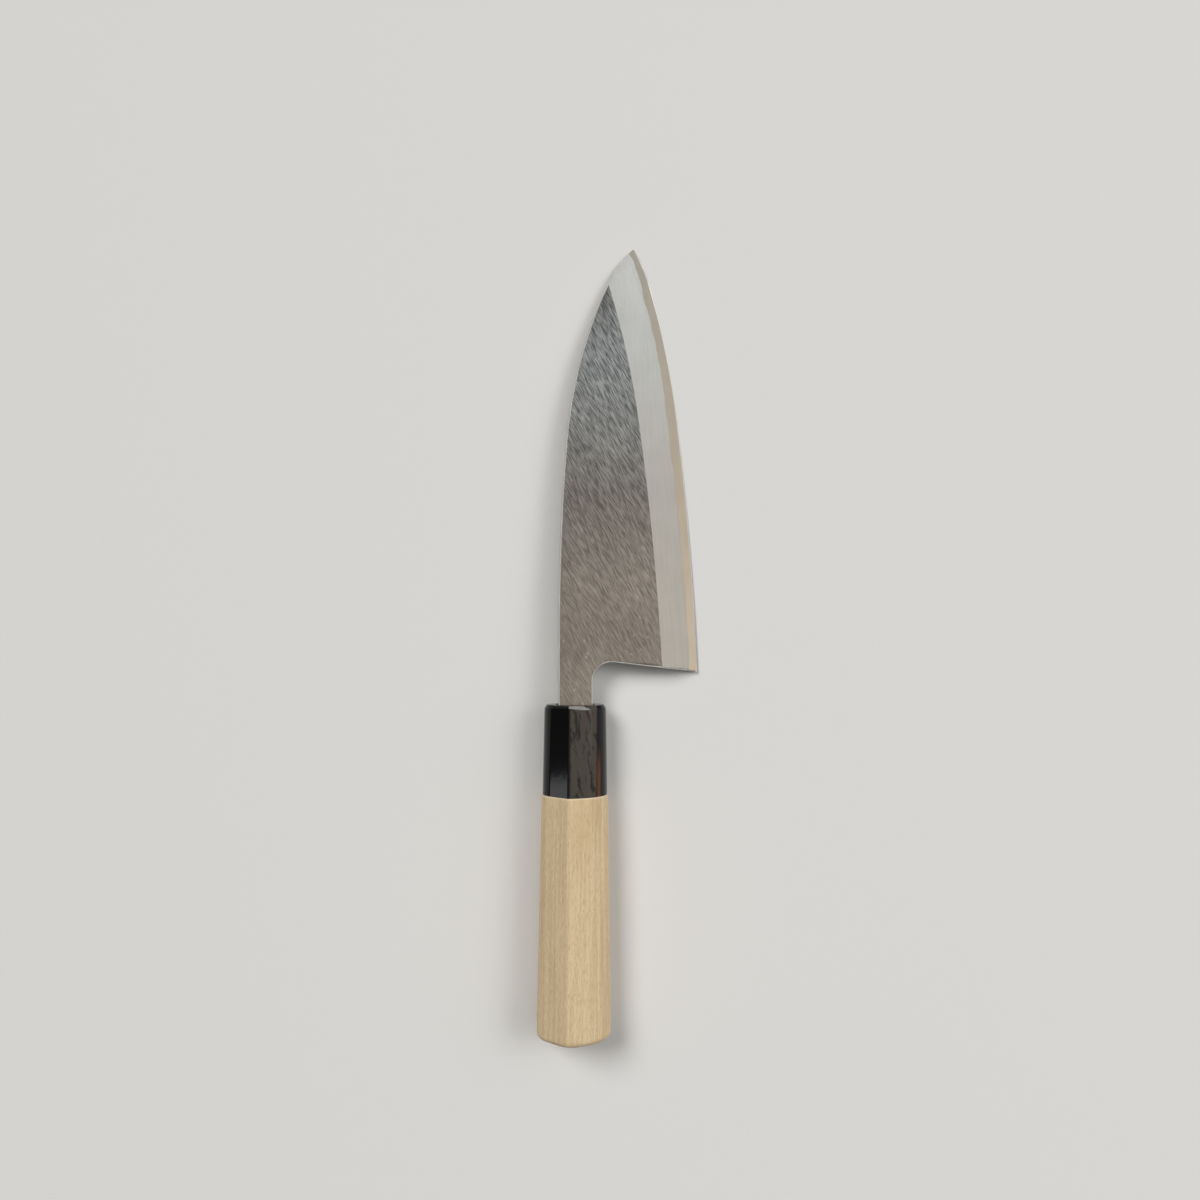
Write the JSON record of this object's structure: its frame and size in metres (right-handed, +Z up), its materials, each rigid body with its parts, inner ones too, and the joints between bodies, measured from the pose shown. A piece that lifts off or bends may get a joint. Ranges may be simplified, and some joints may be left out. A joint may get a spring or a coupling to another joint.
{
  "type": "deba knife",
  "caption": "Right-handed single-bevel deba with a laminated blade, hollow-ground back, horn ferrule and half-rounded wooden handle with a ridge.",
  "frame": {"origin": "where the handle's axis meets the ferrule's front face", "axes": "+Y along the knife towards the tip, +X towards the cutting edge, +Z up from the table that the knife rests on, bevel side up"},
  "size_m": [0.0559, 0.2763, 0.0231],
  "materials": {
    "soft_iron": "ground flat with slanting scratches, misty stone-finished bevel",
    "hard_steel": "stone-finished strip along the edge, satin hollow back",
    "seal_resin": "dull dark resin",
    "buffalo_horn": "polished black horn with faint brown and grey streaks",
    "magnolia_wood": "bare, finely sanded, straight-grained"
  },
  "bodies": {
    "root": {"blade_cladding": "soft_iron", "edge_steel": "hard_steel", "tang_seal": "seal_resin", "ferrule": "buffalo_horn", "handle_grip": "magnolia_wood"}
  },
  "joints": []
}
